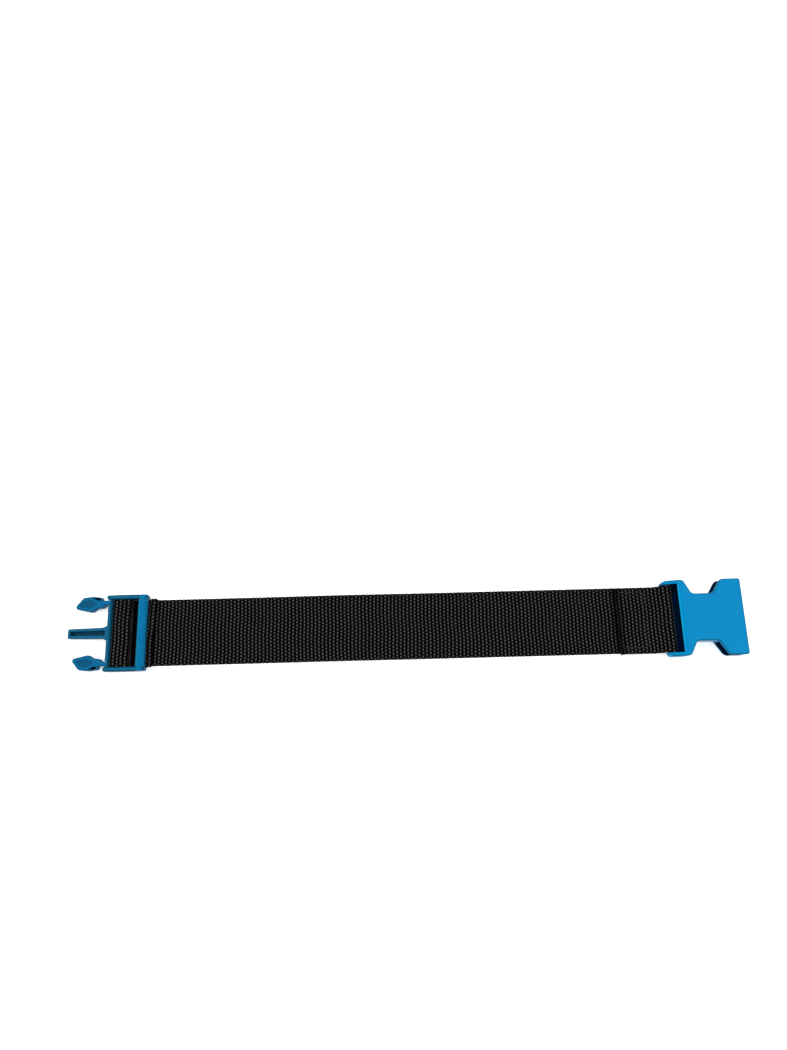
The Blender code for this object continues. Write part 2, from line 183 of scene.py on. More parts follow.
class Finish:
    """A material in the making."""

    def __init__(self, name, **constants):
        self.material = bpy.data.materials.new(name)
        self.material.use_nodes = True
        self.tree = self.material.node_tree
        self.shader = self.tree.nodes["Principled BSDF"]
        for socket, value in constants.items():
            self.shader.inputs[socket.replace("_", " ")].default_value = value

    def add(self, kind, settings, inputs, output=0):
        """One node, with its settings and the values or links of its inputs."""
        node = self.tree.nodes.new(kind)
        for key, value in settings.items():
            setattr(node, key, value)
        for key, value in inputs.items():
            self.feed(node.inputs[key], value)
        return Signal(self, node.outputs[output])

    def feed(self, socket, value):
        if isinstance(value, Signal):
            self.tree.links.new(value.socket, socket)
        else:
            socket.default_value = value

    def sum(self, operation, *values):
        return self.add("ShaderNodeMath", {"operation": operation}, dict(enumerate(values)))

    def noise(self, place, scale, detail=2.0):
        return self.add("ShaderNodeTexNoise", {}, {"Vector": place, "Scale": scale, "Detail": detail})

    def smooth(self, value, low, high):
        """0 below low, 1 above high, and an even S between them."""
        ranged = {"interpolation_type": "SMOOTHSTEP"}
        return self.add("ShaderNodeMapRange", ranged, {"Value": value, "From Min": low, "From Max": high})

    def tint(self, factor, first, second):
        colours = {0: factor, 6: first, 7: second}
        return self.add("ShaderNodeMix", {"data_type": "RGBA"}, colours, output=2)

    def bump(self, height, depth, strength=1.0):
        relief = {"Strength": strength, "Distance": depth, "Height": height}
        self.feed(self.shader.inputs["Normal"], self.add("ShaderNodeBump", {}, relief))


print("material helpers ready")

# %% [markdown]
# ## Moulded blue plastic
# The buckle is acetal, moulded in one colour all through. Such a surface is never quite even: the colour
# drifts by a few per cent along the flow of the melt, the mould leaves a fine spark-eroded grain, and handling
# leaves faint duller patches. Noise at three sizes makes these, and the grain also feeds a very shallow bump.
# The male half, from another batch, is deeper in colour. Each body has a pair of finishes: one for its faces,
# and a darker one for its rounded rims, which paints the shade where the light falls off them. The rear lip has a
# lighter one instead, a painted highlight on its slope and its ribs, and the pockets on the arms have a deeper
# painted shade. A lighter finish paints a highlight on the rounded edge of the female's slot, and a finish that
# is nearly navy paints shade on the faces inside slots and on the centre bar, which see little light.

# %% Plastic
def blue_acetal(name, deep, bright, sheen=0.03):
    finish = Finish(name, Specular_IOR_Level=sheen)
    place = finish.add("ShaderNodeTexCoord", {}, {}, output="Object")
    flow = finish.noise(place, 55.0, 3.0)
    grain = finish.noise(place, 3200.0, 1.0)
    handling = finish.smooth(finish.noise(place, 210.0, 5.0), 0.45, 0.75)
    colour = finish.tint(flow * 0.75 + grain * 0.25, deep, bright)
    finish.feed(finish.shader.inputs["Base Color"], colour)
    finish.feed(finish.shader.inputs["Roughness"], 0.24 + grain * 0.08 + handling * 0.10)
    finish.bump(grain + handling * 0.2, 0.02 * MM, 0.6)
    return finish.material


FEMALE_BLUE = blue_acetal("blue_acetal_female", (0.0003, 0.152, 0.340, 1.0), (0.0005, 0.182, 0.395, 1.0))
# painted shade: a darker copy for the rounded rims, where the light falls off
FEMALE_RIM_PAINTED_SHADE = blue_acetal("blue_acetal_female_rim_painted_shade", (0.0002, 0.085, 0.170, 1.0), (0.0004, 0.115, 0.220, 1.0))
# painted highlight: a lighter copy for the slot's rounded edge
SLOT_EDGE_PAINTED_HIGHLIGHT = blue_acetal("blue_acetal_slot_edge_painted_highlight", (0.002, 0.220, 0.440, 1.0), (0.004, 0.270, 0.510, 1.0))
LIP_BLUE = blue_acetal("blue_acetal_lip", (0.0002, 0.088, 0.215, 1.0), (0.0006, 0.124, 0.280, 1.0))
# painted highlight: a lighter copy for the lip's left slope and its ribs
LIP_PAINTED_HIGHLIGHT = blue_acetal("blue_acetal_lip_facet_painted_highlight", (0.006, 0.150, 0.290, 1.0), (0.010, 0.190, 0.350, 1.0), 0.06)
FRAME_BLUE = blue_acetal("blue_acetal_frame", (0.0008, 0.072, 0.150, 1.0), (0.0018, 0.104, 0.204, 1.0), 0.05)
# painted shade: a darker copy for the frame's rims and the prong's channel
FRAME_PAINTED_SHADE = blue_acetal("blue_acetal_frame_painted_shade", (0.0005, 0.036, 0.072, 1.0), (0.0010, 0.058, 0.110, 1.0))
ARM_BLUE = blue_acetal("blue_acetal_arm", (0.0004, 0.078, 0.178, 1.0), (0.0009, 0.108, 0.238, 1.0))
# painted shade: a deeper copy for the floor and walls of the arms' pockets
POCKET_PAINTED_SHADE = blue_acetal("blue_acetal_arm_pocket_painted_shade", (0.0003, 0.050, 0.115, 1.0), (0.0006, 0.070, 0.155, 1.0))
# painted shade: a darker copy for the arms' rims
ARM_RIM_PAINTED_SHADE = blue_acetal("blue_acetal_arm_rim_painted_shade", (0.0004, 0.042, 0.090, 1.0), (0.0008, 0.062, 0.125, 1.0))
# painted shade: a nearly navy copy for faces deep inside the mouldings
NAVY_PAINTED_SHADE = blue_acetal("blue_acetal_inside_painted_shade", (0.0002, 0.006, 0.020, 1.0), (0.0004, 0.011, 0.036, 1.0))
FEMALE = (FEMALE_BLUE, FEMALE_RIM_PAINTED_SHADE)
LIP = (LIP_BLUE, LIP_PAINTED_HIGHLIGHT)
FRAME = (FRAME_BLUE, FRAME_PAINTED_SHADE)
ARM = (ARM_BLUE, ARM_RIM_PAINTED_SHADE)
INSIDE_PAINTED_SHADE = (NAVY_PAINTED_SHADE,)
print("finishes for the plastic:", len(bpy.data.materials) - 1)

# %% [markdown]
# ## Bodies of the mouldings
# A moulding is made of prisms: an outline with rounded corners is given height, either standing up from the
# table or lying across the strap, and its rims are rounded. Then bodies are added, cut or kept in common one
# after another. A cut face takes the finish of the body that cut it, so slots come out dark with painted shade.

# %% Prisms and cuts
CORNER_STEPS = 8
UP, ACROSS = 2, 1


def rounded_outline(corners):
    """Points round a closed outline given as (u, v, corner radius)."""
    points = []
    for index, (u, v, radius) in enumerate(corners):
        corner = Vector((u, v))
        if radius == 0:
            points.append(corner)
            continue
        before = (Vector(corners[index - 1][:2]) - corner).normalized()
        after = (Vector(corners[(index + 1) % len(corners)][:2]) - corner).normalized()
        half_angle = before.angle(after) / 2
        centre = corner + (before + after).normalized() * radius / math.sin(half_angle)
        start = corner + before * radius / math.tan(half_angle) - centre
        turn = math.pi - 2 * half_angle
        if start.cross(before) > 0:
            turn = -turn
        for step in range(CORNER_STEPS + 1):
            points.append(centre + Matrix.Rotation(turn * step / CORNER_STEPS, 2) @ start)
    return points


def mirrored(corners):
    """Completes an outline given on one side of the strap with its mirror image."""
    return corners + [(x, -y, radius) for x, y, radius in reversed(corners)]


def prism(points, place, vector):
    bm = bmesh.new()
    face = bm.faces.new([bm.verts.new(place(u, v)) for u, v in points])
    extruded = bmesh.ops.extrude_face_region(bm, geom=[face], use_keep_orig=True)
    moved = [item for item in extruded["geom"] if isinstance(item, bmesh.types.BMVert)]
    bmesh.ops.translate(bm, verts=moved, vec=vector)
    bmesh.ops.recalc_face_normals(bm, faces=bm.faces)
    return bm


def standing(corners, low, high):
    """A prism between two heights, from an outline in X and Y."""
    return prism(rounded_outline(corners), lambda x, y: (x, y, low), (0, 0, high - low))


def lying(points, half_width):
    """A prism across the strap, from points in X and Z."""
    return prism(points, lambda x, z: (x, -half_width, z), (0, 2 * half_width, 0))


def round_rims(bm, axis, levels, width, segments=4):
    """Rounds the edges that lie wholly at one of the given levels along an axis; the rounded faces take the body's
    second finish, its painted rim shade.
    """
    edges = [edge for edge in bm.edges
             if any(all(abs(vert.co[axis] - level) < 0.001 for vert in edge.verts) for level in levels)]
    bmesh.ops.bevel(bm, geom=edges, offset=width, segments=segments, profile=0.5, affect="EDGES", material=1)
    return bm


def block(low, high):
    corners = [(low[0], low[1], 0), (high[0], low[1], 0), (high[0], high[1], 0), (low[0], high[1], 0)]
    return standing(corners, low[2], high[2])


def object_from(bm, name, *finishes):
    """Turns a bmesh into a smooth-shaded object at the origin."""
    mesh = bpy.data.meshes.new(name)
    bm.to_mesh(mesh)
    bm.free()
    for finish in finishes:
        mesh.materials.append(finish)
    mesh.shade_smooth()
    piece = bpy.data.objects.new(name, mesh)
    bpy.context.scene.collection.objects.link(piece)
    return piece


def moulding(name, base, steps, finishes):
    """Adds and cuts bodies, given in mm, one after another; only the finished piece stays."""
    piece = object_from(base, name, *finishes)
    tools = []
    for operation, body, body_finishes in steps:
        tool = object_from(body, "tool", *body_finishes)
        modifier = piece.modifiers.new(operation, "BOOLEAN")
        modifier.operation = operation
        modifier.solver = "EXACT"
        modifier.material_mode = "TRANSFER"
        modifier.object = tool
        tools.append(tool)
    finished = piece.evaluated_get(bpy.context.evaluated_depsgraph_get())
    mesh = bpy.data.meshes.new_from_object(finished)
    piece.modifiers.clear()
    piece.data = mesh
    for tool in tools:
        bpy.data.objects.remove(tool)
    mesh.transform(Matrix.Scale(MM, 4))
    mesh.shade_smooth()
    mesh.set_sharp_from_angle(angle=math.radians(32))
    mesh.name = name
    even = piece.modifiers.new("even normals", "WEIGHTED_NORMAL")
    even.keep_sharp = True
    print(name, len(mesh.polygons), "faces")
    return piece


# %% [markdown]
# ## The male half
# Two rails join a front bar, a low centre bar and a rear lip. A guide prong with a channel along its top stands
# on the front bar, with a flared root. The rear lip slopes on its left side and has a row of fine ribs along
# its right edge, where a fingertip pulls it; the slope and the ribs have a painted highlight. The strap goes up in
# front of the centre bar and down behind it.

# %% Male half
MALE_HALF_WIDTH = 28.7
SLOT_HALF_WIDTH = 25.6
RAIL_INNER_Y = SLOT_HALF_WIDTH - 0.4
# The window's cut faces, the rails' inner faces among them, get painted shade.
WINDOW_HALF_WIDTH = RAIL_INNER_Y + 0.05  # a hair more, so that the rails' inner faces take the dark finish
FRONT_BAR_X = (-224.3, -221.2)
CENTRE_BAR_X = (-217.0, -209.0)
REAR_LIP_X = (-201.6, -194.8)
PRONG_TIP_X = -253.2
PRONG_LEVELS = (1.8, 7.2)
BAR_UNDERSIDE = 2.1
ARM_ROOT_Y = 22.9


def male_rail(side):
    inner, outer = side * RAIL_INNER_Y, side * MALE_HALF_WIDTH
    front, rear = FRONT_BAR_X[0] - 1.0, REAR_LIP_X[1] + 0.2
    middle = (front + rear) / 2
    end = outer - side * 0.15
    corners = [(front, inner, 1.3), (rear, inner, 1.3), (rear, end, 1.3), (middle, outer, 9.0), (front, end, 1.3)]
    return round_rims(standing(corners, 0.0, 8.0), UP, (0.0, 8.0), 1.0)


def rear_lip():
    left, right = REAR_LIP_X
    corners = [(left + 1.0, 3.7, 0.3), (left, 4.7, 0.3), (left, 6.2, 0.6), (left + 2.4, 8.8, 0.5),
               (right - 1.2, 8.5, 1.0), (right, 6.4, 0.8), (right, 3.7, 0.4)]
    bm = lying(rounded_outline(corners), MALE_HALF_WIDTH - 0.3)
    # Faces that slope up to the left take the second finish, a painted highlight.
    for face in bm.faces:
        face.normal_update()
        face.material_index = int(face.normal.x < -0.4 and face.normal.z > 0.3)
    return bm


def prong():
    corners = [(PRONG_TIP_X, -3.6, 0.8), (-227.0, -4.15, 2.2), (-224.6, -5.3, 0.6), (-223.3, -5.3, 0)]
    return round_rims(standing(mirrored(corners), *PRONG_LEVELS), UP, PRONG_LEVELS, 0.5)


def prong_channel():
    corners = [(PRONG_TIP_X + 1.9, -1.75, 0.6), (-225.3, -1.9, 0.6)]
    return standing(mirrored(corners), PRONG_LEVELS[0] + 1.4, 9.0)


def arm_socket(side):
    bm = bmesh.new()
    bmesh.ops.create_cone(bm, cap_ends=True, segments=32, radius1=1.95, radius2=1.95, depth=40.0)
    bmesh.ops.translate(bm, verts=bm.verts, vec=(FRONT_BAR_X[0], side * ARM_ROOT_Y, 0))
    return bm


def male_frame():
    bar_end = SLOT_HALF_WIDTH + 1.4
    front_bar = round_rims(block((FRONT_BAR_X[0], -bar_end, BAR_UNDERSIDE), (FRONT_BAR_X[1], bar_end, 7.4)),
                           UP, (BAR_UNDERSIDE, 7.4), 1.1)
    left, right = CENTRE_BAR_X
    bar_corners = [(left, 2.1, 1.8), (right, 2.1, 1.8), (right, 5.9, 1.8), (left, 5.9, 1.8)]
    window = block((FRONT_BAR_X[1] + 0.3, -WINDOW_HALF_WIDTH, -5), (REAR_LIP_X[0] + 0.6, WINDOW_HALF_WIDTH, 20))
    # The nearly navy finish paints shade on the window's cut faces, the whole centre bar and the arm sockets.
    steps = [("UNION", male_rail(1), FRAME),
             ("DIFFERENCE", window, INSIDE_PAINTED_SHADE),
             ("UNION", rear_lip(), LIP),
             ("UNION", front_bar, FRAME),
             ("UNION", lying(rounded_outline(bar_corners), bar_end), INSIDE_PAINTED_SHADE),
             ("UNION", prong(), FRAME),
             # the channel's faces take the frame's darker painted shade
             ("DIFFERENCE", prong_channel(), (FRAME_PAINTED_SHADE,)),
             ("DIFFERENCE", arm_socket(-1), INSIDE_PAINTED_SHADE),
             ("DIFFERENCE", arm_socket(1), INSIDE_PAINTED_SHADE)]
    return moulding("male_frame_moulding", male_rail(-1), steps, FRAME)


def grip_ribs():
    """A row of fine ribs along the lip's right edge, all in the lip's painted highlight finish."""
    bm = bmesh.new()
    count = 39
    for index in range(count):
        y = (index - (count - 1) / 2) * 1.32
        lean = Matrix.Rotation(math.radians(58), 4, "Y") @ Matrix.Diagonal((1.15, 0.36, 0.5, 1.0))
        place = Matrix.Translation((REAR_LIP_X[1] - 0.45, y, 7.35))
        bmesh.ops.create_uvsphere(bm, u_segments=10, v_segments=6, radius=1.0, matrix=place @ lean)
    return moulding("rear_lip_ribs", bm, [], (LIP_PAINTED_HIGHLIGHT,))


frame_piece = male_frame()
ribs = grip_ribs()
for piece in (frame_piece, ribs):
    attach(piece, "male_half")
    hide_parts("male_frame")

# %% [markdown]
# ## The latch arms
# Each arm is a leaf on a narrow neck. A shallow pocket runs along the leaf, its faces in a deeper painted
# shade, and next to the barb a deep slot in its outer flank makes the barb a little springy; the slot's faces
# have the nearly navy painted shade.

# %% Latch arms
ARM_LOW, ARM_HIGH = 1.8, 7.4
ARM_CORNERS = ((-0.2, 24.5, 0), (4.4, 24.5, 0.4), (5.1, 27.0, 0.8), (12.5, 27.8, 6.0), (19.0, 27.0, 2.4),
               (24.2, 20.6, 1.0), (23.6, 18.4, 0.7), (12.0, 15.9, 3.0), (8.4, 18.5, 1.6), (4.0, 19.0, 1.6),
               (1.6, 21.25, 0.8), (-0.2, 21.25, 0))
ARM_POCKET = ((7.5, 22.0, 0.8), (13.5, 25.0, 2.5), (18.6, 24.4, 1.5), (21.6, 20.4, 0.8), (13.0, 18.6, 2.0))
ARM_NOTCH = ((5.9, 24.4, 0.3), (5.9, 26.3, 0.3), (8.4, 26.8, 0.3), (12.0, 26.7, 0.2), (8.4, 24.9, 0.3))


def arm_outline(corners, side):
    """An outline given by distance from the front bar and from the middle, on one side."""
    return [(FRONT_BAR_X[0] - u, side * v, radius) for u, v, radius in corners]


def latch_arm(side, name):
    root = bmesh.new()
    bmesh.ops.create_cone(root, cap_ends=True, segments=32, radius1=1.65, radius2=1.65, depth=ARM_HIGH - ARM_LOW)
    bmesh.ops.translate(root, verts=root.verts,
                        vec=(FRONT_BAR_X[0], side * ARM_ROOT_Y, (ARM_HIGH + ARM_LOW) / 2))
    leaf = round_rims(standing(arm_outline(ARM_CORNERS, side), ARM_LOW, ARM_HIGH), UP, (ARM_LOW, ARM_HIGH), 0.6)
    steps = [("UNION", root, ARM),
             ("DIFFERENCE", standing(arm_outline(ARM_POCKET, side), ARM_HIGH - 0.45, 20), (POCKET_PAINTED_SHADE,)),
             ("DIFFERENCE", standing(arm_outline(ARM_NOTCH, side), 3.0, 20), INSIDE_PAINTED_SHADE)]
    arm = moulding(name + "_moulding", leaf, steps, ARM)
    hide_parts("latch_" + name)
    return arm


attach(latch_arm(-1, "arm_left"), "left_arm")
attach(latch_arm(1, "arm_right"), "right_arm")

# %% [markdown]
# ## The female half
# A flat box with a waist, open at the mouth on the right. Short walls frame the mouth, and two windows let the
# barbs out. On the left two rails with round ends hold the web bar. Behind the slot's rounded edge the body is
# hollow, and the bottom plate reaches a little further left than the top one.

# %% Female half
FEMALE_HALF_WIDTH = 28.4
FEMALE_HEIGHT = 12.8
PLATE = 2.0
WAIST_HALF_WIDTH = 17.6
MOUTH_X = 253.2
BAR_PLACE = (199.2, 4.6)


def arc_points(centre, radius, start_deg, end_deg, steps=24):
    angles = [math.radians(start_deg + (end_deg - start_deg) * step / steps) for step in range(steps + 1)]
    return [(centre[0] + radius * math.cos(angle), centre[1] + radius * math.sin(angle)) for angle in angles]


def female_side_view():
    """The outline from the side, a hair larger than the body, with both long rims rounded."""
    profile = arc_points(BAR_PLACE, 4.6, 268, 110)
    profile += [(209.7, FEMALE_HEIGHT + 0.05), (275, FEMALE_HEIGHT + 0.05), (275, -0.05), (199.0, -0.05)]
    half = FEMALE_HALF_WIDTH + 0.05
    return round_rims(lying(profile, half), ACROSS, (-half, half), 0.95)


def web_slot():
    """The opening between the rails; its right side leaves the top plate a rounded edge. Its cut faces take a
    lighter finish, a painted highlight on that edge.
    """
    edge = arc_points((207.2, 10.72), 1.2, 180, 108, 8)
    points = [(185, -5), (203.8, -5), (203.8, PLATE + 0.4), (206.3, PLATE + 0.4), (206.3, 10.4)]
    return lying(points + [(206.0, 10.6)] + edge + [(edge[-1][0], 30), (185, 30)], SLOT_HALF_WIDTH)


def slot_hollow():
    corners = mirrored([(190.0, SLOT_HALF_WIDTH, 0), (209.3, SLOT_HALF_WIDTH, 1.5),
                        (214.4, WAIST_HALF_WIDTH - 2, 1.5), (218.5, WAIST_HALF_WIDTH - 2, 1.5)])
    return standing(corners, PLATE, FEMALE_HEIGHT - PLATE)


def socket():
    inner_mouth = FEMALE_HALF_WIDTH - 2
    corners = mirrored([(221.0, WAIST_HALF_WIDTH - 2, 2.0), (232.0, WAIST_HALF_WIDTH - 2, 0), (232.0, 50, 0),
                        (248.2, 50, 0), (248.2, inner_mouth, 0), (275, inner_mouth, 0)])
    return standing(corners, PLATE, FEMALE_HEIGHT - PLATE)


def female_housing():
    corners = mirrored([(194.2, FEMALE_HALF_WIDTH, 4.8), (210.3, FEMALE_HALF_WIDTH, 4.0),
                        (215.8, WAIST_HALF_WIDTH, 4.0), (231.4, WAIST_HALF_WIDTH, 3.0),
                        (238.4, FEMALE_HALF_WIDTH, 4.5), (MOUTH_X, FEMALE_HALF_WIDTH, 1.5)])
    plan = round_rims(standing(corners, 0.0, FEMALE_HEIGHT), UP, (0.0, FEMALE_HEIGHT), 0.9)
    # The nearly navy finish paints shade on the faces cut by the hollow and the socket, and on the two guide walls.
    steps = [("INTERSECT", female_side_view(), FEMALE),
             ("DIFFERENCE", slot_hollow(), INSIDE_PAINTED_SHADE),
             ("DIFFERENCE", web_slot(), (SLOT_EDGE_PAINTED_HIGHLIGHT,)),
             ("DIFFERENCE", socket(), INSIDE_PAINTED_SHADE),
             ("UNION", lying(arc_points(BAR_PLACE, 2.1, 0, 345, 23), SLOT_HALF_WIDTH + 1.4), FEMALE),
             ("UNION", block((226.0, 4.7, 1.0), (246.0, 6.0, 11.8)), INSIDE_PAINTED_SHADE),
             ("UNION", block((226.0, -6.0, 1.0), (246.0, -4.7, 11.8)), INSIDE_PAINTED_SHADE)]
    return moulding("female_moulding", plan, steps, FEMALE)


housing = female_housing()
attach(housing, "female_half")
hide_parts("female_housing")

# %% [markdown]
# ## How the webbing is woven
# The warp yarns run along the strap, 39 side by side. Each one floats over a rib of weft and dives between
# this rib and the next, and its neighbours do the opposite. So every rib shows a row of humps with bare weft
# between them, the next rib shows them half a step over, and dark furrows lie between the ribs. The height of
# a hump is a cosine along the yarn minus a parabola across it. The weft is a low ridge. The highest one shows.
# The same sum gives the shape of the mesh here and, further down, the painted highlights and shade of the material.

# %% Weave
WEBBING_WIDTH = 50.0
WEBBING_THICKNESS = 1.5
YARNS = 39
YARN_PITCH = WEBBING_WIDTH / YARNS
WEAVE_REPEAT = 5.6
ROWS_PER_REPEAT = 12
ROW = WEAVE_REPEAT / ROWS_PER_REPEAT
CELLS_PER_YARN = 4
CREST = 0.30
CROWN = 0.26
CROWN_HALF_WIDTH = 0.75
WEFT_TOP = 0.02
WEFT_FALL = 0.30
FURROW = 0.15


def weave_relief(phase, yarns_across):
    """Height in mm of the woven face; phase counts repeats along, yarns_across counts yarns."""
    index = np.floor(yarns_across)
    off_centre = np.abs(yarns_across - index - 0.5) * YARN_PITCH
    wave = np.cos(2 * math.pi * (phase + index / 2))
    own = CREST * wave - CROWN * (off_centre / CROWN_HALF_WIDTH) ** 2
    beside = -CREST * wave - CROWN * ((YARN_PITCH - off_centre) / CROWN_HALF_WIDTH) ** 2
    between_ribs = 0.5 - 0.5 * np.cos(4 * math.pi * phase)
    weft = WEFT_TOP - WEFT_FALL * between_ribs
    return np.maximum(np.maximum(own, beside), weft) - FURROW * between_ribs


sample = weave_relief(np.linspace(0, 1, 50)[:, None], np.linspace(0, 4, 81)[None, :])
print("weave relief from", round(sample.min(), 2), "to", round(sample.max(), 2), "mm")

# %% [markdown]
# ## Routes of the webbing
# The strip is one length of webbing, and its route is a line in the plane of X and Z. The flat run rises a
# millimetre or so where the strap doesn't quite lie down. At the female half it climbs to the web bar, goes
# round it and comes back on top of itself. At the male half it turns up, over the centre bar, down again and
# out under the rear lip, where the end is folded on top as a hem.

# %% Routes
STRAND_Z = WEBBING_THICKNESS / 2
UPPER_Z = WEBBING_THICKNESS * 1.5 + 0.3
ADJUSTER_TURN_X = -219.15
LOOP_RISE_X = 187.2
WEB_BAR = (199.2, 4.6)
LOOP_RADIUS = 3.15
FOLD_BACK_SETTLED_X = 184.2
FOLD_BACK_END_X = 160.6
WRAP_LEFT_X = -220.4
WRAP_RIGHT_X = -207.95
WRAP_TOP_Z = 6.95
WRAP_RADIUS = 2.85
WRAP_LEFT_RADIUS = 3.1
TAIL_TURN_X = -190.85
HEM_END_X = -194.2


class Route:
    """A line in the XZ plane, read by the length run along it, in mm."""

    def __init__(self, points):
        points = np.array(points, float)
        steps = np.hypot(*np.diff(points, axis=0).T)
        keep = np.concatenate([[True], steps > 1e-6])
        self.points = points[keep]
        self.length = np.concatenate([[0], np.cumsum(np.hypot(*np.diff(self.points, axis=0).T))])

    def place(self, run):
        return np.stack([np.interp(run, self.length, self.points[:, k]) for k in (0, 1)], axis=-1)

    def at(self, run):
        """Points and left-hand normals at these lengths."""
        near = [self.place(run + step) for step in (-0.2, 0.2)]
        along = near[1] - near[0]
        along /= np.hypot(along[..., 0], along[..., 1])[..., None]
        return self.place(run), np.stack([-along[..., 1], along[..., 0]], axis=-1)


def arc(centre, radius, start_deg, end_deg):
    angles = np.radians(np.linspace(start_deg, end_deg, 40))
    return [(centre[0] + radius * math.cos(a), centre[1] + radius * math.sin(a)) for a in angles]


def ease(start, end):
    """An even S from one level to another."""
    shares = np.linspace(0, 1, 40)
    level = (1 - np.cos(math.pi * shares)) / 2
    return [(start[0] + (end[0] - start[0]) * s, start[1] + (end[1] - start[1]) * e) for s, e in zip(shares, level)]


def lift(x):
    """How far the flat run stands off the table at x."""
    share = np.clip((x + 122.0) / 148.0, 0, 1)
    return 1.3 * np.sin(math.pi * share) ** 2


def strap_route():
    flat = [(x, STRAND_Z + lift(x)) for x in np.arange(ADJUSTER_TURN_X, LOOP_RISE_X, 1.0)]
    bar_x, bar_z = WEB_BAR
    route = flat + ease((LOOP_RISE_X, STRAND_Z), (bar_x, bar_z - LOOP_RADIUS))
    route += arc(WEB_BAR, LOOP_RADIUS, -90, 90)
    route += ease((bar_x, bar_z + LOOP_RADIUS), (FOLD_BACK_SETTLED_X, UPPER_Z))
    return Route(route + [(FOLD_BACK_END_X, UPPER_Z)])


def adjuster_route():
    route = arc((ADJUSTER_TURN_X, 2.0), 2.0 - STRAND_Z, -90, -180)
    route += arc((WRAP_LEFT_X + WRAP_LEFT_RADIUS, WRAP_TOP_Z - WRAP_LEFT_RADIUS), WRAP_LEFT_RADIUS, 180, 90)
    route += arc((WRAP_RIGHT_X - WRAP_RADIUS, WRAP_TOP_Z - WRAP_RADIUS), WRAP_RADIUS, 90, 0)
    route += arc((WRAP_RIGHT_X + 0.95, UPPER_Z + 0.95), 0.95, 180, 270)
    route += arc((TAIL_TURN_X, UPPER_Z + 0.9), 0.9, -90, 90)
    return Route(route + [(HEM_END_X, UPPER_Z + 1.8)])


strap = strap_route()
adjuster = adjuster_route()
print("strap route", round(strap.length[-1], 1), "mm, adjuster route", round(adjuster.length[-1], 1), "mm")

# %% [markdown]
# ## Webbing as a mesh
# One function makes every stretch. A grid is extruded into a thin slab, with one row of cells for each twelfth
# of a weave repeat and four cells for each yarn. Then each vertex is moved: along the route by its row, across
# by its column, and up or down from the middle of the slab by the relief of the weave. The UV map keeps the
# weave's own coordinates, repeats along and yarns across, so that the material can follow every yarn.

# %% Webbing mesh
def slab(rows, columns):
    """A grid of unit size extruded to a slab; z is 1 on the face and 0 on the back."""
    bm = bmesh.new()
    bmesh.ops.create_grid(bm, x_segments=rows - 1, y_segments=columns - 1, size=0.5)
    extruded = bmesh.ops.extrude_face_region(bm, geom=bm.faces[:], use_keep_orig=True)
    moved = [item for item in extruded["geom"] if isinstance(item, bmesh.types.BMVert)]
    bmesh.ops.translate(bm, verts=moved, vec=(0, 0, 1))
    bmesh.ops.recalc_face_normals(bm, faces=bm.faces)
    return bm


def webbing(name, route, run, finish, phase=None, shift=None, melt=None, shaded=None):
    """A stretch of webbing. run holds each row's length along the route in mm, and phase its place in the
    weave. shift(run, y) moves points by an X and a Y, melt(run) fades the weave where it was melted and
    darkens it, and the last one, a function of run, paints shade on it where little light gets in."""
    phase = run if phase is None else phase
    columns = YARNS * CELLS_PER_YARN + 1
    piece = object_from(slab(len(run), columns), name, finish)
    mesh = piece.data
    flat = np.empty(len(mesh.vertices) * 3)
    mesh.vertices.foreach_get("co", flat)
    flat = flat.reshape(-1, 3)
    row = np.rint((flat[:, 0] + 0.5) * (len(run) - 1)).astype(int)
    yarn = (flat[:, 1] + 0.5) * YARNS
    face = flat[:, 2] > 0.5
    drift = 0.035 * np.sin(yarn * 0.29 + run[row] * 0.03) + 0.02 * np.sin(yarn * 1.7 + run[row] * 0.05)
    repeats = phase[row] / WEAVE_REPEAT + drift
    woven = weave_relief(repeats + np.where(face, 0.0, 0.5), np.clip(yarn, 0.001, YARNS - 0.001))
    melted = np.zeros(len(run)) if melt is None else melt(run)
    # Darker colour where the end was melted, and painted shade where little light gets in.
    melt_and_painted_shade = melted * 0.6 if shaded is None else np.maximum(melted * 0.6, shaded(run))
    woven = woven * (1 - 0.75 * melted[row]) - 0.12 * melted[row]
    edge = np.clip(1 - (yarn.clip(0, YARNS / 2) + (YARNS - yarn).clip(0, YARNS / 2) - YARNS / 2) / 0.75, 0, 1)
    half = (WEBBING_THICKNESS / 2 - CREST + woven) * np.sqrt(1 - 0.93 * edge**2)
    place, normal = route.at(run)
    offset = np.where(face, half, -half)
    across = (yarn - YARNS / 2) * YARN_PITCH
    scallop = 0.14 * np.cos(4 * math.pi * repeats) * (np.abs(across) > WEBBING_WIDTH / 2 - 0.1)
    across = across + np.sign(across) * scallop
    moved = np.stack([place[row, 0] + normal[row, 0] * offset, across, place[row, 1] + normal[row, 1] * offset], -1)
    if shift is not None:
        moved[:, :2] += np.stack(shift(run[row], across), -1)
    mesh.vertices.foreach_set("co", (moved * MM).ravel())
    loops = np.empty(len(mesh.loops), np.int32)
    mesh.loops.foreach_get("vertex_index", loops)
    weave_map = np.stack([repeats + np.where(face, 0.0, 0.5), yarn], -1)[loops]
    mesh.uv_layers.new(name="weave").data.foreach_set("uv", weave_map.ravel())
    mesh.attributes.new("melt_and_painted_shade", "FLOAT", "POINT").data.foreach_set("value", melt_and_painted_shade[row].astype(np.float32))
    mesh.update()
    print(name, len(mesh.polygons) * 2, "triangles,", round(run[-1] - run[0], 1), "mm long")
    return piece


print("a row every", round(ROW, 3), "mm")
